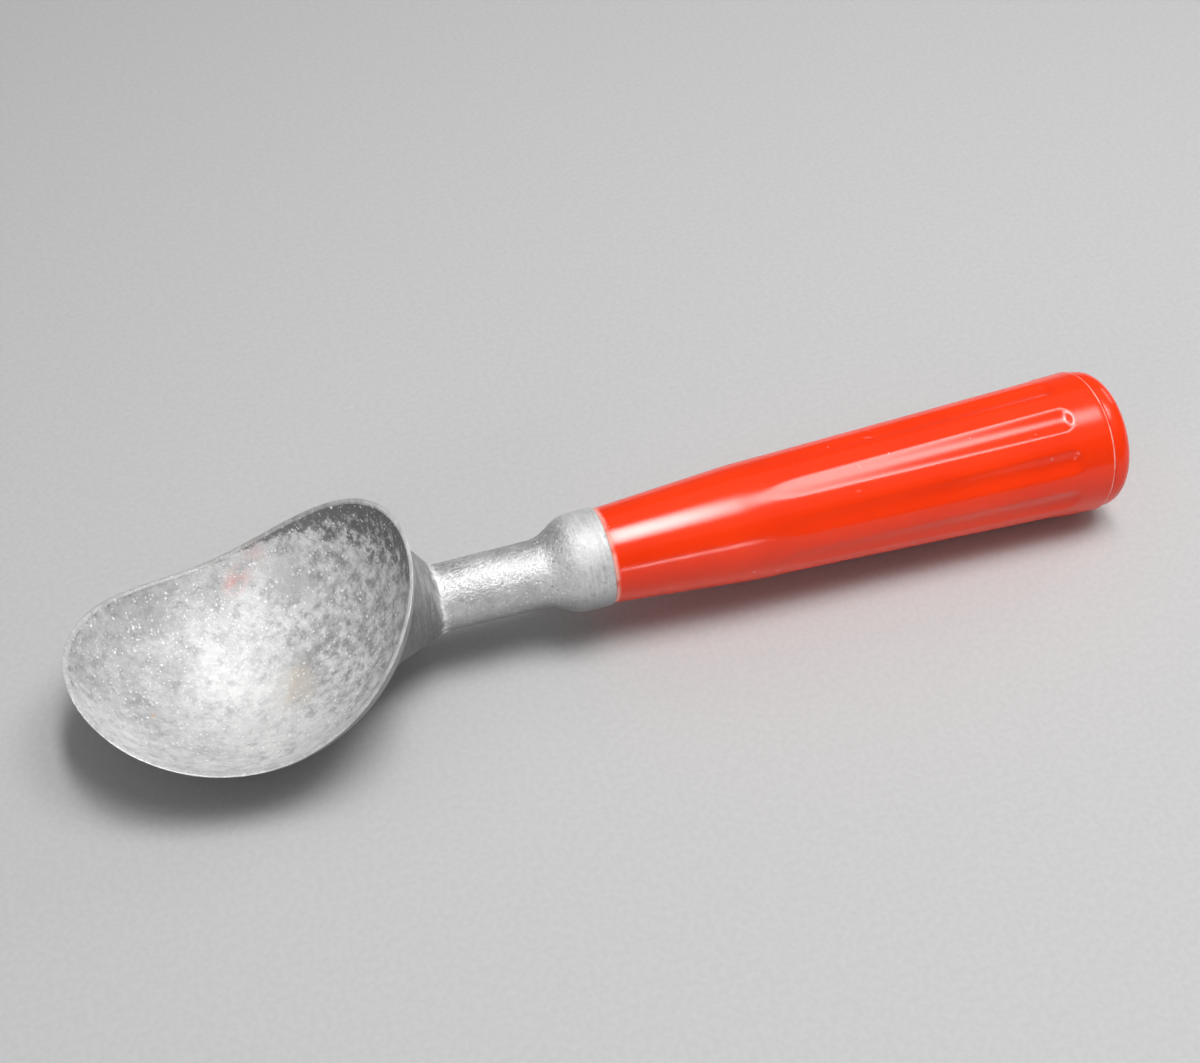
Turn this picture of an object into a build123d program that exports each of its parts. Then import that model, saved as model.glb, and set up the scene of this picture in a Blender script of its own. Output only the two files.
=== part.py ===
from build123d import *
import os
from math import asin, atan2, cos, hypot, radians, sin, sqrt

# Ice cream scoop lying on a table, bowl up, in millimetres. +Z is up and +X runs from the bowl's nose
# to the handle's end. Lengths along the tool are counted from the seam between collar and handle,
# and heights from the axis that the shank and the handle share.

# Bowl: part of a hollow ball, cut off along a rim that dips at the sides and climbs to the back
bowl_diameter = 64.0
bowl_wall = 1.2
bowl_reach = 67.5
bowl_rise = 14.2
rim_nose_height = 3.5
rim_dip_reach = 70.5
rim_dip_depth = 3.7
rim_back_height = 16.9
rim_nose_slope_share = -0.42
rim_back_slope_share = 1.0
rim_rounding_share = 0.4

# Neck, shank and collar of the same casting
neck_gusset_run = 6.5
neck_gusset_climb = 8.5
neck_blend_share = 0.4
shank_neck_diameter = 12.3
shank_collar_diameter = 13.0
collar_proud = 0.4
collar_band = 5.0
collar_bell = 10.0
collar_edge = 0.4

# Tang: the rod behind the collar that holds the handle, with a thread at its end
thread_diameter = 6.0
thread_clearance = 0.05
thread_relief = 1.0
thread_beyond_nut = 2.0
thread_chamfer = 0.6
tang_shoulder = 1.0
tang_clearance = 0.1

# Handle: a tapered grip with a bend in its taper, a bore and a pocket in its end
handle_length = 99.3
handle_front_diameter = 17.8
handle_bend_length = 27.0
handle_bend_diameter = 22.3
handle_bend_round = 60.0
handle_end_diameter = 28.0
handle_front_edge = 0.3
handle_end_edge = 0.8
pocket_wall = 4.5
pocket_depth = 22.0

# Flutes: round-bottomed grooves along the grip that run out just behind the bend
flute_count = 10
flute_radius = 3.6
flute_depth = 0.85
flute_start_gap = 7.0
flute_end_gap = 7.0
flute_first_turn = 4.75

# End cap: a rounded flange that covers the handle's end, on a hollow plug
cap_step = 0.5
cap_thickness = 4.3
cap_rounding = 3.0
cap_front_edge = 0.4
plug_clearance = 0.1
plug_length = 8.0
plug_wall = 2.0

# Washer and nut on the tang's thread
washer_play = 1.5
washer_thickness = 1.5
washer_clearance = 0.2
nut_across_flats = 10.0
nut_height = 5.0
nut_chamfer = 0.5

cut_overrun = 2.0

# Radii and places that several pieces share
ball_radius = bowl_diameter / 2
front_radius = handle_front_diameter / 2
bend_radius = handle_bend_diameter / 2
end_radius = handle_end_diameter / 2
cap_radius = end_radius - cap_step
pocket_radius = end_radius - pocket_wall
pocket_floor = handle_length - pocket_depth
thread_radius = thread_diameter / 2
tang_radius = thread_radius + tang_shoulder
bore_radius = tang_radius + tang_clearance
tail_reach = handle_length + cap_thickness

# How the tool lies: the bowl and the handle's end touch the table, so its axis leans by this angle
heel_reach = handle_length - handle_end_edge
span = bowl_reach + heel_reach
rise = bowl_rise + end_radius
lean = asin(ball_radius / hypot(span, rise)) - atan2(rise, span)
along = Vector(cos(lean), 0, -sin(lean))
upward = Vector(sin(lean), 0, cos(lean))

# The tool's place: its lowest points at height zero, and halfway from nose to tail at the origin
nose_reach = bowl_reach + sqrt(ball_radius**2 - (bowl_rise - rim_nose_height) ** 2)
nose_end = upward * rim_nose_height - along * nose_reach
tail_end = upward * (cap_radius - cap_rounding) + along * tail_reach
heel_end = along * heel_reach - upward * end_radius
seam_centre = Vector(-(nose_end.X + tail_end.X) / 2, 0, -heel_end.Z)

# The tool's own plane: its X is the axis and its Y is up
tool = Plane(origin=seam_centre, x_dir=along, z_dir=along.cross(upward))
tool_axis = Axis(seam_centre, along)


def across(reach):
    """Plane square to the tool's axis, this far behind the seam."""
    return Plane(origin=seam_centre + along * reach, x_dir=upward, z_dir=along)


with BuildPart() as scoop_head:
    ball_centre = tool.from_local_coords((-bowl_reach, bowl_rise))
    with Locations(ball_centre):
        Sphere(ball_radius, rotation=(0, 0, 180))
    # Shank, bell-shaped collar and tang in one turned profile
    shank_end = -(collar_band + collar_bell)
    shank_radius = shank_collar_diameter / 2
    bell_middle = -(collar_band + collar_bell / 2)
    collar_radius = front_radius + collar_proud
    thread_start = pocket_floor - thread_relief
    thread_end = pocket_floor + washer_thickness + nut_height + thread_beyond_nut
    with BuildSketch(tool):
        with BuildLine():
            Polyline(
                (-bowl_reach, 0),
                (-bowl_reach, shank_neck_diameter / 2),
                (shank_end, shank_radius),
            )
            Bezier(
                (shank_end, shank_radius),
                (bell_middle, shank_radius),
                (bell_middle, collar_radius),
                (-collar_band, collar_radius),
            )
            FilletPolyline(
                (-collar_band, collar_radius),
                (0, collar_radius),
                (0, tang_radius),
                radius=[collar_edge],
            )
            Polyline(
                (0, tang_radius),
                (thread_start, tang_radius),
                (thread_start, thread_radius),
                (thread_end - thread_chamfer, thread_radius),
                (thread_end, thread_radius - thread_chamfer),
                (thread_end, 0),
                (-bowl_reach, 0),
            )
        make_face()
    revolve(axis=tool_axis)
    # Gusset between the ball and the shank, blended into both
    neck_edge = scoop_head.edges().filter_by(GeomType.BSPLINE).sort_by(tool_axis)[0]
    shank_face = scoop_head.faces().filter_by(GeomType.CONE).sort_by(tool_axis)[0]
    chamfer(neck_edge, neck_gusset_run, neck_gusset_climb, reference=shank_face)
    gusset_faces = scoop_head.faces().filter_by(GeomType.BSPLINE)
    fillet(gusset_faces.edges(), neck_gusset_run * neck_blend_share)
    # The hollow, and all of the ball above the rim
    with Locations(ball_centre):
        Sphere(ball_radius - bowl_wall, rotation=(0, 0, 180), mode=Mode.SUBTRACT)
    back_reach = bowl_reach - sqrt(ball_radius**2 - (rim_back_height - bowl_rise) ** 2)
    back_cut = cut_overrun - back_reach
    front_cut = -(bowl_reach + ball_radius + cut_overrun)
    top_cut = bowl_rise + ball_radius + cut_overrun
    with BuildSketch(tool):
        with BuildLine():
            rim_line = Spline(
                (-nose_reach - cut_overrun, rim_nose_height - cut_overrun * rim_nose_slope_share),
                (-rim_dip_reach, -rim_dip_depth),
                (back_cut, rim_back_height + cut_overrun * rim_back_slope_share),
                tangents=[(1, rim_nose_slope_share), (1, rim_back_slope_share)],
            )
            rim_start = rim_line @ 0
            Polyline(
                rim_line @ 1,
                (back_cut, top_cut),
                (front_cut, top_cut),
                (front_cut, rim_start.Y),
                rim_start,
            )
        make_face()
    extrude(amount=ball_radius + cut_overrun, both=True, mode=Mode.SUBTRACT)
    rim_faces = scoop_head.faces().filter_by(GeomType.EXTRUSION)
    fillet(rim_faces.edges(), bowl_wall * rim_rounding_share)
scoop_head.part.label = "scoop_head"

with BuildPart() as handle:
    with BuildSketch(tool):
        with BuildLine():
            FilletPolyline(
                (0, bore_radius),
                (0, front_radius),
                (handle_bend_length, bend_radius),
                (handle_length, end_radius),
                (handle_length, pocket_radius),
                (pocket_floor, pocket_radius),
                (pocket_floor, bore_radius),
                (0, bore_radius),
                radius=[0, handle_front_edge, handle_bend_round, handle_end_edge, 0, 0, 0],
            )
        make_face()
    revolve(axis=tool_axis)
    # Each flute is cut by a round bar with a ball end, which rises out of the grip towards the bend
    grip_slope = (end_radius - bend_radius) / (handle_length - handle_bend_length)
    flute_rounding = sqrt(flute_radius**2 - (flute_radius - flute_depth) ** 2)
    flute_heel = handle_length - flute_end_gap - flute_rounding
    flute_toe = handle_bend_length + flute_start_gap
    heel_height = bend_radius + grip_slope * (flute_heel - handle_bend_length) + flute_radius - flute_depth
    toe_height = bend_radius + grip_slope * flute_start_gap + flute_radius
    for flute in range(flute_count):
        turn = radians(flute_first_turn + 360 * flute / flute_count)
        outward = Vector(0, cos(turn), 0) + upward * sin(turn)
        heel_point = seam_centre + along * flute_heel + outward * heel_height
        toe_point = seam_centre + along * flute_toe + outward * toe_height
        bar = toe_point - heel_point
        with BuildSketch(Plane(origin=heel_point, x_dir=bar, z_dir=bar.cross(outward))):
            with BuildLine():
                CenterArc((0, 0), flute_radius, 90, 90)
                Polyline((-flute_radius, 0), (bar.length, 0), (bar.length, flute_radius), (0, flute_radius))
            make_face()
        revolve(axis=Axis(heel_point, bar), mode=Mode.SUBTRACT)
handle.part.label = "handle"

with BuildPart() as end_cap:
    plug_radius = pocket_radius - plug_clearance
    plug_front = handle_length - plug_length
    with BuildSketch(tool):
        with BuildLine():
            FilletPolyline(
                (handle_length, 0),
                (handle_length, plug_radius - plug_wall),
                (plug_front, plug_radius - plug_wall),
                (plug_front, plug_radius),
                (handle_length, plug_radius),
                (handle_length, cap_radius),
                (tail_reach, cap_radius),
                (tail_reach, 0),
                (handle_length, 0),
                radius=[0, 0, 0, 0, 0, cap_front_edge, cap_rounding, 0],
            )
        make_face()
    revolve(axis=tool_axis)
end_cap.part.label = "end_cap"

with BuildPart() as tang_washer:
    with BuildSketch(across(pocket_floor)):
        Circle(pocket_radius - washer_play)
        Circle(thread_radius + washer_clearance, mode=Mode.SUBTRACT)
    extrude(amount=washer_thickness)
tang_washer.part.label = "tang_washer"

with BuildPart() as tang_nut:
    with BuildSketch(across(pocket_floor + washer_thickness)):
        RegularPolygon(nut_across_flats / 2, side_count=6, major_radius=False)
        Circle(thread_radius + thread_clearance, mode=Mode.SUBTRACT)
    extrude(amount=nut_height)
    nut_back = tang_nut.faces().sort_by(tool_axis)[-1]
    chamfer(nut_back.outer_wire().edges(), nut_chamfer)
tang_nut.part.label = "tang_nut"

os.makedirs("parts", exist_ok=True)
for piece in (scoop_head, handle, end_cap, tang_washer, tang_nut):
    export_step(piece.part, f"parts/{piece.part.label}.step")
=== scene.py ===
import math

import bmesh
import bpy
import numpy as np
from mathutils import Matrix, Vector, noise


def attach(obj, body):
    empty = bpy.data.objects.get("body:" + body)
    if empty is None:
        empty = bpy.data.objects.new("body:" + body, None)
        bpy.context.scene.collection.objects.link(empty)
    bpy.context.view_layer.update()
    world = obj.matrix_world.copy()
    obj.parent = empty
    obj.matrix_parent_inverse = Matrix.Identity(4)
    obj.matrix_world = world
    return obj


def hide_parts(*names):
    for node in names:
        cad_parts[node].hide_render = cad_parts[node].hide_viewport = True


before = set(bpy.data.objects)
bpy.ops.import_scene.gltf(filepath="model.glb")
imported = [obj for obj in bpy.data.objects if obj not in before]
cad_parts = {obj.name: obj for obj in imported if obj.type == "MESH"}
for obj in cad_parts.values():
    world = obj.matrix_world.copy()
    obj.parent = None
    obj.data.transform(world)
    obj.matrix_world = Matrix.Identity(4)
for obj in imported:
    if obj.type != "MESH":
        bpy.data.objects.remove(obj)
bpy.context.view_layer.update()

# Scoop head: one aluminium casting of bowl, neck, shank, bell-shaped collar and the tang inside the handle.
# It is left as cast, dulled to a grainy grey by washing, and rubbed bright on its rim and on the bowl's
# floor; the brightest parts of floor and rim are also painted highlights. Its undersides, its gusset and a
# crescent under the far rim are darkened as painted shade, and its white specks are painted glints. The tang
# goes through the handle and is held there by a washer and a nut.

# How the tool lies: millimetres behind the seam of collar and handle, across, and above the axis
lean = math.radians(1.314266)
seam = np.array([-3.13073, 0.0, 16.25554])
along = np.array([math.cos(lean), 0.0, -math.sin(lean)])
sideways = np.array([0.0, 1.0, 0.0])
upward = np.array([math.sin(lean), 0.0, math.cos(lean)])


def in_frame(points):
    """Places on the tool, in millimetres, as places in the frame, in metres."""
    points = np.asarray(points, float)
    moved = seam + points[..., 0:1] * along + points[..., 1:2] * sideways + points[..., 2:3] * upward
    return moved / 1000


def unevenness(points, size, seed):
    """Smooth noise from 0 to 1 at each place, with lumps of about this size in millimetres."""
    flat = np.asarray(points, float).reshape(-1, 3) / size + seed
    lumps = np.array([noise.noise(Vector(place)) for place in flat])
    return np.clip(0.5 + 0.5 * lumps, 0, 1).reshape(np.shape(points)[:-1])


def curve_between(share, first, first_pull, last_pull, last):
    """Point on a smooth curve that leaves first towards first_pull and reaches last from last_pull."""
    rest = 1 - share
    ends = rest**3 * first + share**3 * last
    return ends + 3 * rest**2 * share * first_pull + 3 * rest * share**2 * last_pull


def hump(distance, width):
    """1 at no distance, falling smoothly to almost nothing at twice the width."""
    return np.exp(-((distance / width) ** 2))


def skin(rows, first=None, last=None, wrapped=False):
    """Vertices and faces of a closed skin over rows of points, each row a ring. A skin that is not wrapped
    from its last row to its first is closed by the points first and last."""
    count = rows.shape[1]
    points = [in_frame(rows).reshape(-1, 3)]
    ring = np.arange(count)
    following = np.roll(ring, -1)
    faces = []
    starts = [row * count for row in range(len(rows))]
    pairs = list(zip(starts, starts[1:]))
    if wrapped:
        pairs.append((starts[-1], starts[0]))
    for low, high in pairs:
        quads = np.stack([low + ring, low + following, high + following, high + ring], -1)
        faces.extend(quads.tolist())
    if not wrapped:
        for start, point in ((starts[0], first), (starts[-1], last)):
            middle = sum(len(block) for block in points)
            points.append(in_frame([point]))
            fan = np.stack([start + ring, start + following, np.full(count, middle)], -1)
            faces.extend(fan.tolist())
    return np.concatenate(points), faces


def new_piece(name, skins, marks=None, crease=40):
    """Mesh object of one or more closed skins, with a number per vertex for each mark."""
    points, faces = [], []
    for skin_points, skin_faces in skins:
        start = sum(len(block) for block in points)
        points.append(skin_points)
        faces.extend([[corner + start for corner in face] for face in skin_faces])
    mesh = bpy.data.meshes.new(name)
    mesh.from_pydata(np.concatenate(points).tolist(), [], faces)
    shape = bmesh.new()
    shape.from_mesh(mesh)
    bmesh.ops.recalc_face_normals(shape, faces=shape.faces)
    shape.to_mesh(mesh)
    shape.free()
    mesh.shade_smooth()
    mesh.set_sharp_from_angle(angle=math.radians(crease))
    for mark, values in (marks or {}).items():
        layer = mesh.attributes.new(mark, "FLOAT", "POINT")
        layer.data.foreach_set("value", np.asarray(values, np.float32))
    piece = bpy.data.objects.new(name, mesh)
    bpy.context.scene.collection.objects.link(piece)
    return piece


# Bowl: a part of a hollow ball below the rim line, with a wall that thins at its lip
ball_centre = np.array([-67.5, 0.0, 14.2])
ball_radius, hollow_radius, rim_hollow_radius = 32.0, 30.8, 31.15
lip_length, lowest_inset = 0.45, 0.08
bowl_count, wall_count, lip_count = 288, 80, 13
bowl_turns = np.linspace(0, 2 * np.pi, bowl_count, endpoint=False)
# Nose, dip and back of the rim line: place along the tool, height and slope
rim_points = ((-99.66, 3.99, -0.42), (-70.5, -4.20, 0.071), (-33.614, 18.6, 1.0))


def rim_height(place):
    """Height of the rim line at a place along the tool: two curves that meet smoothly at the dip."""
    height = np.full_like(place, rim_points[0][1])
    for (x0, z0, slope0), (x1, z1, slope1) in zip(rim_points, rim_points[1:]):
        width = x1 - x0
        share = np.clip((place - x0) / width, 0, 1)
        curve = curve_between(share, z0, z0 + slope0 * width / 3, z1 - slope1 * width / 3, z1)
        height = np.where(place >= x0, curve, height)
    return height


def ball_ring(radius, angle):
    """Ring of points on a ball around the bowl's centre, at this angle from its lowest point."""
    out = np.sin(angle) * radius
    down = -np.cos(angle) * radius * np.ones_like(bowl_turns)
    return ball_centre + np.stack([out * np.cos(bowl_turns), out * np.sin(bowl_turns), down], -1)


def rim_angle(radius):
    """Angle from the lowest point at which a ball reaches the rim line, all the way round."""
    above_rim, halvings = 2.2, 40
    low, high = np.zeros_like(bowl_turns), np.full_like(bowl_turns, above_rim)
    for _ in range(halvings):
        middle = (low + high) / 2
        ring = ball_ring(radius, middle)
        below = ring[:, 2] < rim_height(ring[:, 0])
        low, high = np.where(below, middle, low), np.where(below, high, middle)
    return low


outer_rim, inner_rim = rim_angle(ball_radius), rim_angle(rim_hollow_radius)
outer_end = outer_rim - lip_length / ball_radius
inner_end = inner_rim - lip_length / hollow_radius
wall_shares = np.linspace(0, 1, wall_count + 1)[1:]
lip_shares = np.linspace(0, 1, lip_count + 2)[1:-1]
outer_rows = [ball_ring(ball_radius, outer_end * share) for share in wall_shares]
thinning = hollow_radius + (rim_hollow_radius - hollow_radius) * wall_shares**8
inner_rows = [ball_ring(radius, inner_end * share) for radius, share in zip(thinning, wall_shares)][::-1]
lip_corners = (ball_ring(ball_radius, outer_rim), ball_ring(rim_hollow_radius, inner_rim))
lip_ends = (outer_rows[-1], *lip_corners, inner_rows[0])
lip_rows = [curve_between(share, *lip_ends) for share in lip_shares]
bowl_rows = np.array(outer_rows + lip_rows + inner_rows)
# Slow waves of the casting, always into the wall
waves = 0.09 * unevenness(bowl_rows, size=7.0, seed=3.1) + 0.05 * unevenness(bowl_rows, size=2.2, seed=8.7)
from_centre = bowl_rows - ball_centre
reach = np.linalg.norm(from_centre, axis=-1, keepdims=True)
lip_inwards = np.linspace(-1, 1, lip_count + 2)[1:-1]
inwards = np.concatenate([-np.ones(wall_count), lip_inwards, np.ones(wall_count)])[:, None]
bowl_rows = ball_centre + from_centre / reach * (reach + (inwards * waves)[..., None])
outer_bottom = ball_centre - [0, 0, ball_radius - lowest_inset]
inner_bottom = ball_centre - [0, 0, hollow_radius]
bowl_skin = skin(bowl_rows, outer_bottom, inner_bottom)


def bowl_mark(outer_values, lip_values, inner_values):
    """A mark's value at each point of the bowl, from its values on the outside, the lip and the inside."""
    parts = ((outer_values, wall_count), (lip_values, lip_count), (inner_values, wall_count))
    rows = np.concatenate([np.broadcast_to(values, (count, bowl_count)) for values, count in parts])
    return np.append(rows, [rows[0, 0], rows[-1, 0]])


def turned_from(degrees):
    """How far each turn around the bowl is from this one, from -180 to 180 degrees."""
    return (np.degrees(bowl_turns) - degrees + 180) % 360 - 180


# Scooping has rubbed the lip bright: on one side of the nose over most of its width, and elsewhere only
# along its middle. At the back the lip is painted brighter and wider too, a painted highlight where the lamp
# glints along it. The rest of the lip is dull
nose_side_turn, back_turn, back_width = -130, -5, 38
scooping = 0.5 + 0.5 * np.cos(bowl_turns - math.radians(nose_side_turn))
back_glint = hump(turned_from(back_turn), back_width)
lip_strength = 0.27 + 0.73 * back_glint
wear_width = 0.18 + 0.30 * scooping + 0.25 * back_glint
lip_wear_and_glint = lip_strength * hump(lip_shares[:, None] - 0.5, wear_width)
lip_dull = np.sin(np.pi * lip_shares[:, None]) ** 0.5 * (1 - scooping) * (1 - 0.7 * back_glint)
# Painted shade: a dark crescent under the rim of the far back wall, which faces away from the lamps
crescent_turn, crescent_width, crescent_reach, crescent_least = 20, 36, 11.5, 0.5
below_rim = (inner_rim - inner_end * wall_shares[::-1, None]) * hollow_radius
crescent_depth = crescent_reach * hump(turned_from(crescent_turn), crescent_width)
crescent = np.clip(1.2 - below_rim / np.maximum(crescent_depth, crescent_least), 0, 1)

# Neck, shank, collar and tang: rings around the tool's axis
neck_count = 224
neck_turns = np.linspace(0, 2 * np.pi, neck_count, endpoint=False)
out_y, out_z = np.cos(neck_turns), np.sin(neck_turns)
neck_radius, shank_radius, shank_end = 6.3, 6.5, -13.4
collar_radius, collar_start, collar_edge = 9.3, -4.2, 0.4
tang_radius, thread_radius, thread_start, tang_end, tang_chamfer = 4.0, 3.0, 76.3, 85.8, 0.6
gusset_start = -31.5
gusset_foot = 7.8 - 0.5 * out_z
foot_pull_share, start_pull_share = 0.25, 0.45
foot_depth, foot_pull_depth, root_depth = 0.22, 0.12, 0.7


def neck_ring(place, radius):
    """Ring around the axis at these places along it."""
    place = place * np.ones_like(neck_turns)
    return np.stack([place, radius * out_y, radius * out_z], -1)


def onto_ball(points, depth):
    """The points moved onto the bowl's outside, or this deep below it."""
    away = points - ball_centre
    return ball_centre + away / np.linalg.norm(away, axis=-1, keepdims=True) * (ball_radius - depth)


# The gusset climbs the ball's outside from where a plain neck would meet it
across_wall = ball_radius**2 - (neck_radius * out_y) ** 2 - (neck_radius * out_z - ball_centre[2]) ** 2
meeting = ball_centre[0] + np.sqrt(across_wall)
meeting_ring = neck_ring(meeting, neck_radius)
wall_normal = (meeting_ring - ball_centre) / ball_radius
outward = np.stack([np.zeros_like(out_y), out_y, out_z], -1)
climb = outward - (outward * wall_normal).sum(-1, keepdims=True) * wall_normal
climb /= np.linalg.norm(climb, axis=-1, keepdims=True)
foot_ring = onto_ball(meeting_ring + climb * gusset_foot[:, None], foot_depth)
foot_pull = onto_ball(meeting_ring + climb * gusset_foot[:, None] * (1 - foot_pull_share), foot_pull_depth)
start_ring = neck_ring(gusset_start, neck_radius)
start_pull = start_ring + (foot_ring - start_ring) * start_pull_share
neck_middle = foot_ring.mean(0)
foot_spread = foot_ring - neck_middle
root_shares, gusset_shares = (0.25, 0.5, 0.75, 1), np.linspace(0, 1, 33)
neck_rows = [onto_ball(neck_middle + foot_spread * share, root_depth) for share in root_shares]
for share in gusset_shares:
    neck_rows.append(curve_between(share, foot_ring, foot_pull, start_pull, start_ring))
# The shank's rings are closer together beside the gusset
close_share = 0.12
shank_shares = np.concatenate([np.linspace(0, close_share, 13)[1:], np.linspace(close_share, 1, 22)[1:]])
for share in shank_shares:
    place = gusset_start + (shank_end - gusset_start) * share
    neck_rows.append(neck_ring(place, neck_radius + (shank_radius - neck_radius) * share))
bell_middle = (shank_end + collar_start) / 2
for share in np.linspace(0, 1, 25)[1:]:
    place = curve_between(share, shank_end, bell_middle, bell_middle, collar_start)
    radius = curve_between(share, shank_radius, shank_radius, collar_radius, collar_radius)
    neck_rows.append(neck_ring(place, radius))
collar_places = np.linspace(collar_start, -collar_edge, 12)[1:]
for place in collar_places:
    neck_rows.append(neck_ring(place, collar_radius))
neck_rows = np.array(neck_rows)
# The sand's unevenness, always inwards, none of it in the bowl's wall and little at the collar's seam
depth = 0.06 * unevenness(neck_rows, size=5.0, seed=5.3) + 0.05 * unevenness(neck_rows, size=1.6, seed=1.9)
fade = np.ones(len(neck_rows))
fade[-len(collar_places):] = np.linspace(1, 0.25, len(collar_places))
fade[:len(root_shares) + 2] = 0
# A rough ridge where the gusset starts
ridge_width, ridge_height, ridge_spread = 0.45, 0.45, 2.5
ridge_distance = (neck_rows[..., 0] - gusset_start) / ridge_width
ridge = np.exp(-(ridge_distance**2)) * ridge_height * unevenness(neck_rows, size=1.1, seed=6.1) ** 2
shift = ridge - depth * fade[:, None]
neck_rows[..., 1] += shift * out_y
neck_rows[..., 2] += shift * out_z
# The shank is cast a little below the collar's middle
sag_depth, sag_start, sag_length = 0.7, -4.5, 9.0
sag_share = np.clip((sag_start - neck_rows[..., 0]) / sag_length, 0, 1)
sag = sag_depth * sag_share**2 * (3 - 2 * sag_share)
free_rows = len(neck_rows) - len(root_shares) - len(gusset_shares)
hanging = np.concatenate([np.zeros(len(root_shares)), gusset_shares, np.ones(free_rows)])
neck_rows[..., 2] -= sag * hanging[:, None]
tang_profile = []
for angle in np.linspace(0, np.pi / 2, 6)[1:]:
    place = -collar_edge * (1 - math.sin(angle))
    tang_profile.append((place, collar_radius - collar_edge * (1 - math.cos(angle))))
tang_profile += [(0, tang_radius), (thread_start, tang_radius), (thread_start, thread_radius)]
tang_profile += [(tang_end - tang_chamfer, thread_radius), (tang_end, thread_radius - tang_chamfer)]
tang_rows = np.array([neck_ring(place, radius) for place, radius in tang_profile])
shank_rows = np.concatenate([neck_rows, tang_rows])
shank_skin = skin(shank_rows, onto_ball(neck_middle, root_depth), [tang_end, 0, 0])
shank_places = shank_rows[..., 0].ravel()


def shank_mark(values):
    """A mark's value at each point of the shank, from its values on the rings. The two ends have none."""
    return np.append(values, [0, 0])


# Where the ridge is, where the collar is linished and where the gusset begins
linish_start, linish_length, gusset_edge = -9.0, 4.0, 0.8
neck_ridge = np.exp(-(ridge_distance**2 / ridge_spread)).ravel()
shank_ridge = shank_mark(np.append(neck_ridge, np.zeros(tang_rows[..., 0].size)))
shank_collar = shank_mark(np.clip((shank_places - linish_start) / linish_length, 0, 1))
shank_gusset = shank_mark(np.clip((gusset_start - shank_places) / gusset_edge, 0, 1))
no_bowl, no_shank = np.zeros(len(bowl_skin[0])), np.zeros(len(shank_skin[0]))

scoop_head = new_piece(
    "cast_scoop_head",
    [bowl_skin, shank_skin],
    {
        "inside": np.append(bowl_mark(0, lip_shares[:, None], 1), no_shank),
        "rim": np.append(bowl_mark(0, lip_wear_and_glint, 0), no_shank),
        "lip": np.append(bowl_mark(0, lip_dull, 0), no_shank),
        "crescent": np.append(bowl_mark(0, 0, crescent), no_shank),
        "ridge": np.append(no_bowl, shank_ridge),
        "collar": np.append(no_bowl, shank_collar),
        "gusset": np.append(no_bowl, shank_gusset),
    },
)


def add(tree, kind, inputs=None, **settings):
    """New shader node. Each input is a value, or the output that feeds it."""
    made = tree.nodes.new("ShaderNode" + kind)
    for name, value in settings.items():
        setattr(made, name, value)
    for name, value in (inputs or {}).items():
        if isinstance(value, bpy.types.NodeSocket):
            tree.links.new(value, made.inputs[name])
        else:
            made.inputs[name].default_value = value
    return made


def sum_up(tree, operation, first, second):
    """Output of one sum on two values."""
    return add(tree, "Math", {0: first, 1: second}, operation=operation).outputs[0]


def times(tree, first, second):
    """Output of one value times another."""
    return sum_up(tree, "MULTIPLY", first, second)


def weakened(tree, value, cover, share):
    """The value, less up to this share of it where the cover is 1."""
    return times(tree, value, sum_up(tree, "SUBTRACT", 1.0, times(tree, cover, share)))


def between(tree, value, low, high, to_low=0.0, to_high=1.0):
    """The value spread from low and high to other limits, with soft ends."""
    inputs = {"Value": value, "From Min": low, "From Max": high, "To Min": to_low, "To Max": to_high}
    return add(tree, "MapRange", inputs, interpolation_type="SMOOTHSTEP").outputs["Result"]


def cloudy(tree, place, scale, detail, roughness=0.5):
    """Noise from 0 to 1, with this many lumps in a metre."""
    inputs = {"Vector": place, "Scale": scale, "Detail": detail, "Roughness": roughness}
    return add(tree, "TexNoise", inputs).outputs["Fac"]


def marked(tree, name):
    """The value of a mesh's mark."""
    return add(tree, "Attribute", attribute_name=name).outputs["Fac"]


def mixed(tree, share, first, second):
    """One colour over another."""
    return add(tree, "Mix", {0: share, 6: first, 7: second}, data_type="RGBA").outputs[2]


def new_group(name, inputs, outputs):
    """Empty shader group with these number inputs and outputs."""
    tree = bpy.data.node_groups.new(name, "ShaderNodeTree")
    for socket, value in inputs.items():
        made = tree.interface.new_socket(socket, in_out="INPUT", socket_type="NodeSocketFloat")
        made.default_value = value
    for socket in outputs:
        tree.interface.new_socket(socket, in_out="OUTPUT", socket_type="NodeSocketFloat")
    return tree, tree.nodes.new("NodeGroupInput"), tree.nodes.new("NodeGroupOutput")


def placed(tree, group, **values):
    """Output of a shader group placed in a material with its own values."""
    made = add(tree, "Group", node_tree=group)
    for name, value in values.items():
        made.inputs[name.replace("_", " ")].default_value = value
    return made.outputs[0]


def new_material(name):
    """Empty material with its surface shader and its object coordinates."""
    material = bpy.data.materials.new(name)
    material.use_nodes = True
    tree = material.node_tree
    shader = tree.nodes["Principled BSDF"]
    coordinates = add(tree, "TexCoord").outputs["Object"]
    return material, tree, shader, coordinates


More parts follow.
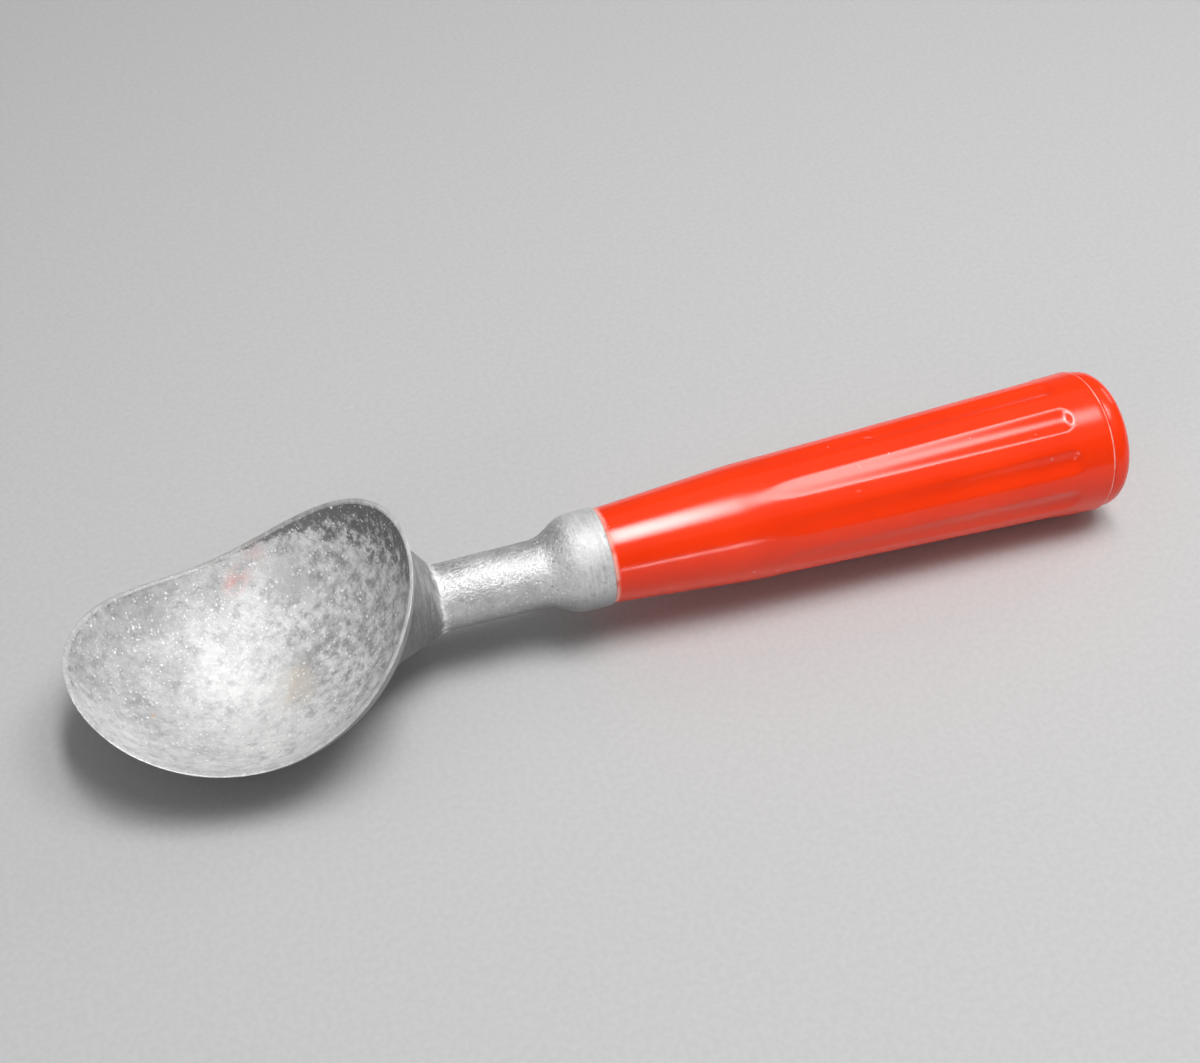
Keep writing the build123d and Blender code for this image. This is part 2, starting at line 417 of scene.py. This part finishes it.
# Specks: small spots with wobbly outlines and sizes of their own, scattered at random
specks_inputs = {"Per Metre": 600.0, "Size": 0.2, "Share": 0.2}
specks, specks_in, specks_out = new_group("specks", specks_inputs, ["Specks"])
specks_place = add(specks, "TexCoord").outputs["Object"]
per_metre = specks_in.outputs["Per Metre"]
wobble_inputs = {"Vector": specks_place, "Scale": per_metre, "Detail": 2.0}
wobble = add(specks, "TexNoise", wobble_inputs).outputs["Color"]
wobble = add(specks, "VectorMath", {0: wobble, 1: (0.5, 0.5, 0.5)}, operation="SUBTRACT").outputs[0]
wobble_size = sum_up(specks, "DIVIDE", 0.8, per_metre)
wobble = add(specks, "VectorMath", {0: wobble, "Scale": wobble_size}, operation="SCALE").outputs[0]
bent = add(specks, "VectorMath", {0: specks_place, 1: wobble}, operation="ADD").outputs[0]
spot = add(specks, "TexVoronoi", {"Vector": bent, "Scale": per_metre})
chance = add(specks, "SeparateColor", {0: spot.outputs["Color"]}).outputs
chosen = sum_up(specks, "LESS_THAN", chance[0], specks_in.outputs["Share"])
speck_size = times(specks, specks_in.outputs["Size"], sum_up(specks, "ADD", chance[1], 0.4))
speck_core = times(specks, speck_size, 0.45)
near = between(specks, spot.outputs["Distance"], speck_size, speck_core)
specks.links.new(times(specks, chosen, near), specks_out.inputs["Specks"])

# Scuffs: fine straight scratches in two directions
scuffs_inputs = {"Per Metre": 900.0, "Stretch": 0.04, "Share": 0.2}
scuffs, scuffs_in, scuffs_out = new_group("scuffs", scuffs_inputs, ["Scuffs"])
scuffs_place = add(scuffs, "TexCoord").outputs["Object"]
scuff_turns, scuff_width = ((0.1, 0.2, 0.35), (0.3, -0.2, 1.1)), 0.22
layers = []
for turn in scuff_turns:
    turned_inputs = {"Vector": scuffs_place, "Rotation": turn}
    turned = add(scuffs, "VectorRotate", turned_inputs, rotation_type="EULER_XYZ")
    stretch = add(scuffs, "CombineXYZ", {0: scuffs_in.outputs["Stretch"], 1: 1.0, 2: 1.0}).outputs[0]
    drawn = add(scuffs, "VectorMath", {0: turned.outputs[0], 1: stretch}, operation="MULTIPLY").outputs[0]
    cell = add(scuffs, "TexVoronoi", {"Vector": drawn, "Scale": scuffs_in.outputs["Per Metre"]})
    cell_chance = add(scuffs, "SeparateColor", {0: cell.outputs["Color"]}).outputs[1]
    picked = sum_up(scuffs, "LESS_THAN", cell_chance, scuffs_in.outputs["Share"])
    line = between(scuffs, cell.outputs["Distance"], scuff_width, 0.0)
    layers.append(times(scuffs, picked, line))
scuffs.links.new(sum_up(scuffs, "MAXIMUM", *layers), scuffs_out.inputs["Scuffs"])

cast_metal, tree, shader, place = new_material("cast_aluminium")
inside = marked(tree, "inside")
rim = marked(tree, "rim")
lip = marked(tree, "lip")
ridge_mark = marked(tree, "ridge")
collar_mark = marked(tree, "collar")
gusset_mark = marked(tree, "gusset")
crescent_mark = marked(tree, "crescent")
clouds = cloudy(tree, place, scale=140.0, detail=5.0, roughness=0.65)
grain = cloudy(tree, place, scale=1500.0, detail=3.0, roughness=0.7)
mottle = cloudy(tree, place, scale=480.0, detail=4.0, roughness=0.7)
blotch = cloudy(tree, place, scale=440.0, detail=6.0, roughness=0.72)
round_axis = add(tree, "VectorMath", {0: place, 1: (1.0, 0.12, 0.12)}, operation="MULTIPLY").outputs[0]
streaks = cloudy(tree, round_axis, scale=1800.0, detail=3.0, roughness=0.6)
# Painted glints: the next three are white specks that stand in for lit facets; the pits below them are real
sparkle = placed(tree, specks, Per_Metre=1000.0, Size=0.28, Share=0.36)
large_glints = placed(tree, specks, Per_Metre=760.0, Size=0.20, Share=0.34)
glints = placed(tree, specks, Per_Metre=1700.0, Size=0.36, Share=0.32)
pits = placed(tree, specks, Per_Metre=900.0, Size=0.3, Share=0.14)
rubs = placed(tree, scuffs, Per_Metre=1500.0, Stretch=0.07, Share=0.25)


def near_place(tree, place, point, far, close):
    """1 close to this point on the tool and 0 far from it, with the two distances in metres."""
    centre = in_frame([point])[0]
    distance = add(tree, "VectorMath", {0: place, 1: centre}, operation="DISTANCE").outputs["Value"]
    return between(tree, distance, far, close)


# Where scooping has rubbed the floor, which is also where a painted highlight lightens it, where the back
# wall is blotched, and where painted shade darkens the back wall
rubbed_and_highlit = times(tree, near_place(tree, place, (-67.5, 2.5, -16.3), far=0.017, close=0.002), inside)
blotched = times(tree, near_place(tree, place, (-44.0, 4.0, 0.0), far=0.031, close=0.014), inside)
dark_edge = sum_up(tree, "ADD", crescent_mark, between(tree, blotch, 0.38, 0.62, 0.35, -0.35))
painted_crescent_shade = times(tree, between(tree, dark_edge, 0.10, 0.85), inside)

# The grey of the casting: clouds, mottling and grain, linished round the collar, and fanned along the gusset
# in dark streaks that are partly file marks and partly painted shade
outside = mixed(tree, between(tree, clouds, 0.3, 0.7), (0.54, 0.54, 0.545, 1), (0.72, 0.72, 0.72, 1))
washed = mixed(tree, between(tree, clouds, 0.35, 0.65), (0.45, 0.45, 0.455, 1), (0.60, 0.60, 0.60, 1))
colour = mixed(tree, inside, outside, washed)
mottled = between(tree, mottle, 0.48, 0.66, 0.0, 0.40)
colour = mixed(tree, mottled, colour, (0.80, 0.80, 0.80, 1))
grainy = between(tree, grain, 0.5, 0.35, 0.0, 0.35)
colour = mixed(tree, grainy, colour, (0.30, 0.30, 0.305, 1))
linished = times(tree, collar_mark, between(tree, streaks, 0.35, 0.65, 0.0, 0.7))
colour = mixed(tree, linished, colour, (0.74, 0.74, 0.74, 1))
# Partly painted shade: the gusset darkened all over, in streaks that also stand for file marks
gusset_streaks_and_shade = times(tree, gusset_mark, between(tree, streaks, 0.65, 0.35, 0.20, 0.60))
colour = mixed(tree, gusset_streaks_and_shade, colour, (0.22, 0.22, 0.225, 1))
# Painted shade: the casting's undersides darker the more they face down, and the gusset darker still
facing_up = add(tree, "SeparateXYZ", {0: add(tree, "TexCoord").outputs["Normal"]}).outputs[2]
facing_for_shade = sum_up(tree, "SUBTRACT", facing_up, times(tree, gusset_mark, 0.35))
beneath = between(tree, facing_for_shade, 0.25, -0.55, 0.0, 0.62)
painted_underside_shade = times(tree, beneath, between(tree, inside, 0.05, 0.0))
colour = mixed(tree, painted_underside_shade, colour, (0.12, 0.12, 0.122, 1))

# Paler and duller patches inside the bowl: place, how far it reaches in metres, strength and colour
patches = (
    ((-93.0, -13.0, -2.0), 0.019, 0.8, (0.86, 0.86, 0.86, 1)),
    ((-66.0, -18.0, -9.0), 0.026, 0.58, (0.84, 0.83, 0.82, 1)),
    ((-59.0, 17.0, -9.0), 0.012, 0.7, (0.86, 0.86, 0.86, 1)),
    ((-82.0, 25.0, 0.0), 0.016, 0.6, (0.28, 0.28, 0.285, 1)),
)
for patch_place, patch_reach, strength, patch_colour in patches:
    nearness = times(tree, near_place(tree, place, patch_place, far=patch_reach, close=0.004), inside)
    share = times(tree, nearness, between(tree, mottle, 0.3, 0.6, 0.5 * strength, strength))
    colour = mixed(tree, share, colour, patch_colour)
uneven = sum_up(tree, "MAXIMUM", blotched, times(tree, inside, 0.18))
dark_blots = times(tree, uneven, between(tree, blotch, 0.54, 0.36, 0.0, 0.58))
colour = mixed(tree, dark_blots, colour, (0.28, 0.28, 0.285, 1))
pale_blots = times(tree, uneven, between(tree, blotch, 0.46, 0.66, 0.0, 0.72))
colour = mixed(tree, pale_blots, colour, (0.88, 0.88, 0.88, 1))
# Painted shade: the far back wall darkened along the crescent under its rim, with ragged edges
colour = mixed(tree, times(tree, painted_crescent_shade, 0.88), colour, (0.14, 0.14, 0.145, 1))
# Wear and painted highlight: the floor paler where it is rubbed and where the lamp's light pools
rubbed_and_highlit_spots = times(tree, rubbed_and_highlit, between(tree, mottle, 0.35, 0.65, 0.25, 0.9))
colour = mixed(tree, rubbed_and_highlit_spots, colour, (0.80, 0.80, 0.79, 1))

# Stains that washing has left: each is a turn around the bowl and an angle up from its lowest point, in
# degrees, how far it reaches in metres, its strength and its colour
stains = (
    (74, 55, 0.0036, 0.30, (0.60, 0.28, 0.25, 1)),
    (81, 48, 0.0038, 0.36, (0.68, 0.28, 0.24, 1)),
    (85, 45, 0.0030, 0.40, (0.78, 0.27, 0.22, 1)),
    (-4, 16, 0.0062, 0.55, (0.50, 0.41, 0.30, 1)),
    (17, 20, 0.0045, 0.45, (0.48, 0.40, 0.31, 1)),
    (24, 24, 0.0034, 0.50, (0.26, 0.25, 0.24, 1)),
    (56, 46, 0.0085, 0.50, (0.28, 0.27, 0.27, 1)),
    (-175, 34, 0.0008, 0.90, (0.80, 0.42, 0.12, 1)),
)
for stain_turn, stain_rise, stain_reach, strength, stain_colour in stains:
    turn, angle = math.radians(stain_turn), math.radians(stain_rise)
    level = math.sin(angle)
    stain_way = np.array([math.cos(turn) * level, math.sin(turn) * level, -math.cos(angle)])
    stain_place = ball_centre + hollow_radius * stain_way
    nearness = times(tree, near_place(tree, place, stain_place, far=stain_reach, close=0.0), inside)
    spread = times(tree, nearness, between(tree, blotch, 0.36, 0.56))
    colour = mixed(tree, times(tree, spread, strength), colour, stain_colour)
pitted = times(tree, pits, between(tree, inside, 0.05, 0.0, 0.0, 0.3))
colour = mixed(tree, pitted, colour, (0.16, 0.16, 0.16, 1))
colour = mixed(tree, times(tree, rubs, 0.25), colour, (0.80, 0.80, 0.80, 1))

# Painted glints: bright white specks for lit facets, most of them on the bowl's far side and back wall, and
# few on collar, gusset and the painted-shade undersides
across = add(tree, "SeparateXYZ", {0: place}).outputs[1]
glint_spread = sum_up(tree, "MAXIMUM", blotched, between(tree, across, -0.014, 0.010, 0.3, 1.0))
glint_spread = times(tree, glint_spread, between(tree, inside, 0.0, 1.0, 0.05, 1.0))
spread_glints = times(tree, large_glints, glint_spread)
dotted = times(tree, sparkle, between(tree, inside, 0.0, 1.0, 0.3, 0.8))
dotted = sum_up(tree, "MAXIMUM", dotted, spread_glints)
dotted = weakened(tree, dotted, rubbed_and_highlit, 0.8)
glinting = times(tree, glints, between(tree, inside, 0.0, 1.0, 0.7, 0.6))
shine = sum_up(tree, "MAXIMUM", dotted, glinting)
plain_share = sum_up(tree, "MAXIMUM", collar_mark, gusset_mark)
plain_share = sum_up(tree, "MAXIMUM", plain_share, times(tree, painted_underside_shade, 1.9))
shine = weakened(tree, shine, plain_share, 0.8)
colour = mixed(tree, shine, colour, (0.96, 0.96, 0.96, 1))

# Grime on the lip, and metal worn bright along the rim and on the ridge, with a painted highlight along the
# back of the rim
lip_grime = times(tree, lip, between(tree, mottle, 0.35, 0.65, 0.85, 0.45))
colour = mixed(tree, lip_grime, colour, (0.27, 0.255, 0.24, 1))
# Wear and painted highlight: the rim paler, most of all at the back where the lamp glints
rim_wear_and_glint = times(tree, rim, between(tree, mottle, 0.32, 0.62, 0.6, 1.0))
ridge_wear = times(tree, ridge_mark, between(tree, mottle, 0.4, 0.6))
wear_and_glint = sum_up(tree, "MAXIMUM", rim_wear_and_glint, ridge_wear)
colour = mixed(tree, times(tree, wear_and_glint, 0.95), colour, (0.93, 0.93, 0.925, 1))
tree.links.new(colour, shader.inputs["Base Color"])
roughness = between(tree, grain, 0.3, 0.7, 0.46, 0.66)
roughness = sum_up(tree, "SUBTRACT", roughness, times(tree, wear_and_glint, 0.20))
roughness = sum_up(tree, "ADD", roughness, times(tree, collar_mark, 0.15))
tree.links.new(roughness, shader.inputs["Roughness"])
dull_share = sum_up(tree, "MAXIMUM", inside, times(tree, collar_mark, 0.35))
metal = sum_up(tree, "SUBTRACT", 0.85, times(tree, dull_share, 0.56))
bright = sum_up(tree, "MAXIMUM", shine, times(tree, wear_and_glint, 0.8))
metal = times(tree, metal, sum_up(tree, "SUBTRACT", 1.0, bright))
tree.links.new(metal, shader.inputs["Metallic"])
height = sum_up(tree, "ADD", times(tree, grain, 0.9), times(tree, mottle, 0.45))
height = sum_up(tree, "SUBTRACT", height, pitted)
for smooth_mark, smooth_share in ((wear_and_glint, 0.7), (collar_mark, 0.6), (inside, 0.5)):
    height = weakened(tree, height, smooth_mark, smooth_share)
bump = add(tree, "Bump", {"Height": height, "Strength": 0.4, "Distance": 0.0008})
tree.links.new(bump.outputs[0], shader.inputs["Normal"])
scoop_head.data.materials.append(cast_metal)
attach(scoop_head, "root")
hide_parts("scoop_head")

# Handle: a tapered grip moulded in glossy red plastic, with ten round-bottomed flutes behind a bend in its
# taper. It is pushed over the tang up to the collar, and has a pocket in its end for the washer and nut.

handle_length, front_radius, bend_place, bend_radius, end_radius = 99.3, 8.9, 27.0, 11.15, 14.0
bore_radius, pocket_radius, pocket_floor = 4.1, 9.5, 77.3
front_edge, end_edge, end_clearance, bend_softness = 0.3, 0.8, 0.03, 0.10
flute_count, flute_radius, flute_depth, flute_toe, flute_heel = 10, 3.6, 0.66, 34.0, 89.98
flute_first, flute_softness = math.radians(4.75), 0.65
toe_before, toe_after = 6.0, 4.0
grip_count = 480
grip_turns = np.linspace(0, 2 * np.pi, grip_count, endpoint=False)


def soft_lower(first, second, softness):
    """The lower of two heights, rounded where they cross."""
    share = np.clip(0.5 + 0.5 * (second - first) / softness, 0, 1)
    return second * (1 - share) + first * share - softness * share * (1 - share)


def grip_radius(place):
    """Radius of the grip all round at a place along it, with its flutes, which run out at their toes."""
    front_taper = front_radius + (bend_radius - front_radius) * place / bend_place
    slope = (end_radius - bend_radius) / (handle_length - bend_place)
    radius = soft_lower(front_taper, bend_radius + slope * (place - bend_place), bend_softness)
    pitch = 2 * np.pi / flute_count
    offset = (grip_turns - flute_first + pitch / 2) % pitch - pitch / 2
    across = radius * np.sin(offset)
    heel_height = bend_radius + slope * (flute_heel - bend_place) + flute_radius - flute_depth
    toe_height = bend_radius + slope * (flute_toe - bend_place) + flute_radius
    share = np.clip((place - flute_toe) / (flute_heel - flute_toe), 0, 1)
    past_heel = max(place - flute_heel, 0)
    inside_cut = flute_radius**2 - across**2 - past_heel**2
    floor = toe_height + (heel_height - toe_height) * share - np.sqrt(np.clip(inside_cut, 0, None))
    floor += flute_softness * np.clip((flute_toe + toe_after - place) / (toe_before + toe_after), 0, 1) ** 2
    floor = np.where((inside_cut > 0) & (place > flute_toe - toe_before), floor, radius + flute_radius)
    return soft_lower(radius * np.ones_like(grip_turns), floor, flute_softness)


def grip_ring(place, radius):
    """Ring of the handle at a place along it."""
    radius = radius * np.ones_like(grip_turns)
    flat = np.full_like(grip_turns, place)
    return np.stack([flat, radius * np.cos(grip_turns), radius * np.sin(grip_turns)], -1)


front_angles, end_angles = np.linspace(0, np.pi / 2, 5), np.linspace(0, np.pi / 2, 9)[1:]
grip_rows = []
for angle in front_angles:
    drop = front_edge * (1 - math.sin(angle))
    grip_rows.append(grip_ring(front_edge * (1 - math.cos(angle)), front_radius - drop))
# The rings are closer together at the bend and at the flutes' heels
grip_places = np.concatenate([
    np.linspace(1.0, 25.0, 20), np.linspace(25.2, 29.0, 20), np.linspace(29.5, 86.0, 90),
    np.linspace(86.3, 93.5, 42), np.linspace(94.0, handle_length - end_edge, 8),
])
for grip_place in grip_places:
    grip_rows.append(grip_ring(grip_place, grip_radius(grip_place)))
end_first = len(grip_rows)
for angle in end_angles:
    drop = end_edge * (1 - math.cos(angle))
    end_place = handle_length - end_edge * (1 - math.sin(angle))
    grip_rows.append(grip_ring(end_place, end_radius - end_clearance - drop))
for hole_place, hole_radius in ((handle_length, pocket_radius), (pocket_floor, pocket_radius),
                                (pocket_floor, bore_radius), (0.0, bore_radius)):
    grip_rows.append(grip_ring(hole_place, hole_radius))
# Both edges are painted pale, partly worn and partly a painted highlight where they catch the light: all
# rings of the front one, and five in the rounding of the rear one
pale_edge_first, pale_edge_count = end_first + 1, 5
grip_edges = np.zeros(len(grip_rows))
grip_edges[:len(front_angles)] = 1
grip_edges[pale_edge_first:pale_edge_first + pale_edge_count] = 1
handle_marks = {"edge": np.repeat(grip_edges, grip_count)}
handle = new_piece("red_handle", [skin(np.array(grip_rows), wrapped=True)], handle_marks)

red_plastic, tree, shader, place = new_material("red_plastic")
tone = cloudy(tree, place, scale=45.0, detail=3.0)
haze = cloudy(tree, place, scale=420.0, detail=3.0)
waviness = cloudy(tree, place, scale=70.0, detail=1.0)
hairlines = placed(tree, scuffs, Per_Metre=1100.0, Stretch=0.05, Share=0.14)
dust = placed(tree, specks, Per_Metre=420.0, Size=0.10, Share=0.10)
lint = placed(tree, scuffs, Per_Metre=420.0, Stretch=0.35, Share=0.035)
colour = mixed(tree, between(tree, tone, 0.3, 0.7), (0.86, 0.033, 0.001, 1), (0.94, 0.041, 0.002, 1))
# Wear and painted highlight: the handle's front edge and rear rounding paler
edge_wear_and_highlight = times(tree, marked(tree, "edge"), between(tree, haze, 0.3, 0.6, 0.3, 0.85))
colour = mixed(tree, edge_wear_and_highlight, colour, (0.95, 0.50, 0.42, 1))
colour = mixed(tree, times(tree, hairlines, 0.10), colour, (0.85, 0.22, 0.16, 1))
colour = mixed(tree, times(tree, dust, 0.55), colour, (0.85, 0.60, 0.55, 1))
colour = mixed(tree, times(tree, lint, 0.22), colour, (0.85, 0.55, 0.50, 1))
tree.links.new(colour, shader.inputs["Base Color"])
roughness = between(tree, haze, 0.3, 0.7, 0.165, 0.18)
roughness = sum_up(tree, "ADD", roughness, times(tree, hairlines, 0.05))
roughness = sum_up(tree, "ADD", roughness, times(tree, dust, 0.2))
tree.links.new(roughness, shader.inputs["Roughness"])
height = sum_up(tree, "SUBTRACT", waviness, times(tree, hairlines, 0.008))
height = sum_up(tree, "ADD", height, times(tree, dust, 0.03))
bump = add(tree, "Bump", {"Height": height, "Strength": 0.03, "Distance": 0.0006})
tree.links.new(bump.outputs[0], shader.inputs["Normal"])
shader.inputs["IOR"].default_value = 1.47
handle.data.materials.append(red_plastic)
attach(handle, "root")
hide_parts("handle")

# End cap: a rounded plug moulded in the same red plastic, pressed into the pocket in the handle's end.
# Its flange is a little smaller than the handle, so that a thin seam line shows all round.

cap_radius, cap_back, cap_rounding, cap_edge = 13.5, 103.6, 3.0, 0.4
plug_radius, plug_hollow, plug_front = 9.4, 7.4, 91.3
cap_profile = [(handle_length, plug_hollow), (plug_front, plug_hollow), (plug_front, plug_radius),
               (handle_length, plug_radius)]
for angle in np.linspace(0, np.pi / 2, 7):
    cap_profile.append((handle_length + cap_edge * (1 - math.cos(angle)),
                        cap_radius - cap_edge * (1 - math.sin(angle))))
for angle in np.linspace(0, np.pi / 2, 21):
    cap_profile.append((cap_back - cap_rounding * (1 - math.sin(angle)),
                        cap_radius - cap_rounding * (1 - math.cos(angle))))
for share in np.linspace(1, 0, 12)[1:-1]:
    cap_profile.append((cap_back, (cap_radius - cap_rounding) * share))
# Every second point of the handle's rings is enough for the cap
cap_rows = np.array([grip_ring(cap_place, radius) for cap_place, radius in cap_profile])[:, ::2]
end_cap = new_piece("red_end_cap", [skin(cap_rows, [handle_length, 0, 0], [cap_back, 0, 0])])
end_cap.data.materials.append(red_plastic)
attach(end_cap, "root")
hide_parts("end_cap")

# Washer and nut: plain bright steel, hidden in the pocket under the end cap, where they hold the handle
# on the tang's thread.

steel, tree, shader, place = new_material("steel")
drawn = add(tree, "VectorMath", {0: place, 1: (0.05, 1.0, 1.0)}, operation="MULTIPLY").outputs[0]
brushing = cloudy(tree, drawn, scale=2600.0, detail=4.0)
nicks = placed(tree, scuffs, Per_Metre=1300.0, Stretch=0.08, Share=0.2)
colour = mixed(tree, between(tree, brushing, 0.3, 0.7), (0.46, 0.46, 0.47, 1), (0.62, 0.62, 0.63, 1))
colour = mixed(tree, times(tree, nicks, 0.5), colour, (0.8, 0.8, 0.8, 1))
tree.links.new(colour, shader.inputs["Base Color"])
tree.links.new(between(tree, brushing, 0.3, 0.7, 0.26, 0.42), shader.inputs["Roughness"])
shader.inputs["Metallic"].default_value = 1.0
bump = add(tree, "Bump", {"Height": brushing, "Strength": 0.1, "Distance": 0.0001})
tree.links.new(bump.outputs[0], shader.inputs["Normal"])
for node in ("tang_washer", "tang_nut"):
    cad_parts[node].data.materials.clear()
    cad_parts[node].data.materials.append(steel)

# Floor: a plain pale table top, level and matt, with a faint fleck in its grey.
# The scoop rests on it with the bottom of its bowl and the thick end of its handle.

table_half = 3.0
table_corners = [(-table_half, -table_half, 0), (table_half, -table_half, 0),
                 (table_half, table_half, 0), (-table_half, table_half, 0)]
table_mesh = bpy.data.meshes.new("table_top")
table_mesh.from_pydata(table_corners, [], [(0, 1, 2, 3)])
table_top = bpy.data.objects.new("table_top", table_mesh)
bpy.context.scene.collection.objects.link(table_top)
table_paint, tree, shader, place = new_material("pale_table")
fleck = cloudy(tree, place, scale=900.0, detail=3.0)
colour = mixed(tree, between(tree, fleck, 0.3, 0.7), (0.49, 0.49, 0.49, 1), (0.52, 0.52, 0.52, 1))
tree.links.new(colour, shader.inputs["Base Color"])
shader.inputs["Roughness"].default_value = 0.9
shader.inputs["Specular IOR Level"].default_value = 0.1
table_top.data.materials.append(table_paint)

# Studio: two soft lamps above, a small one low on the viewer's side, weak fills from left and right, an even
# light from the ceiling, and a grey room.

scoop_height = 0.015
scoop_middle = (0.0, 0.0, scoop_height)


def soft_light(name, place, aim, size, power, beam=180):
    """Flat rectangular lamp at one place that looks at another, with its beam's angle in degrees."""
    lamp = bpy.data.lights.new(name, "AREA")
    lamp.shape = "RECTANGLE"
    lamp.size, lamp.size_y = size
    lamp.energy = power
    lamp.spread = math.radians(beam)
    holder = bpy.data.objects.new(name, lamp)
    holder.location = place
    holder.rotation_euler = (Vector(aim) - holder.location).to_track_quat("-Z", "Y").to_euler()
    bpy.context.scene.collection.objects.link(holder)


# Each of the two lamps above is three, one over the other, so that its light fades towards its edges
for layer, width in enumerate((0.24, 0.40, 0.56)):
    lift = 0.002 * layer
    soft_light(f"overhead_softbox_{layer}", (0.08, -0.08, 0.73 + lift), (0.08, 0.0, scoop_height),
               (0.10, 0.9 * width), 2.8 * width)
    soft_light(f"overhead_glow_{layer}", (0.32, -0.09, 0.74 + lift), (0.32, 0.0, scoop_height),
               (0.28, 0.64 * width), 1.85 * width)
soft_light("low_lamp", (0.12, -0.89, 0.07), scoop_middle, (0.16, 0.03), 0.03, beam=60)
soft_light("left_fill", (-0.70, -0.60, 0.32), scoop_middle, (0.40, 0.40), 1.35)
soft_light("back_fill", (0.95, 0.45, 0.55), scoop_middle, (0.40, 0.40), 1.1)
ceiling = bpy.data.lights.new("ceiling_light", "SUN")
ceiling.energy = 0.42
ceiling.angle = math.radians(100)
bpy.context.scene.collection.objects.link(bpy.data.objects.new("ceiling_light", ceiling))
room = bpy.data.worlds.new("room")
room.use_nodes = True
room.node_tree.nodes["Background"].inputs["Color"].default_value = (0.75, 0.76, 0.78, 1)
room.node_tree.nodes["Background"].inputs["Strength"].default_value = 0.17
bpy.context.scene.world = room

# Camera: at the photograph's place and angle, looking down on the tool from its side, with a lens that gives
# the photograph's own field of view.

tilt, swing = 0.79054354, 0.32380002
sensor_width, photo_pixels, lens_pixels = 36.0, 1200, 1783
stand = in_frame([[-72.9255, -216.6429, 237.4064]])[0]
look = np.array([math.sin(swing) * math.cos(tilt), math.cos(swing) * math.cos(tilt), -math.sin(tilt)])
right = np.array([math.cos(swing), -math.sin(swing), 0.0])
tool_axes = np.stack([along, sideways, upward], -1)
look, right = tool_axes @ look, tool_axes @ right
over = np.cross(right, look)
camera = bpy.data.objects.new("camera", bpy.data.cameras.new("camera"))
camera.data.sensor_fit = "HORIZONTAL"
camera.data.sensor_width = sensor_width
camera.data.lens = sensor_width * lens_pixels / photo_pixels
camera.data.clip_start = 0.01
turned = Matrix([right, over, -look]).transposed()
camera.matrix_world = Matrix.Translation(Vector(stand)) @ turned.to_4x4()
bpy.context.scene.collection.objects.link(camera)
bpy.context.scene.camera = camera
bpy.context.scene.view_settings.view_transform = "Standard"
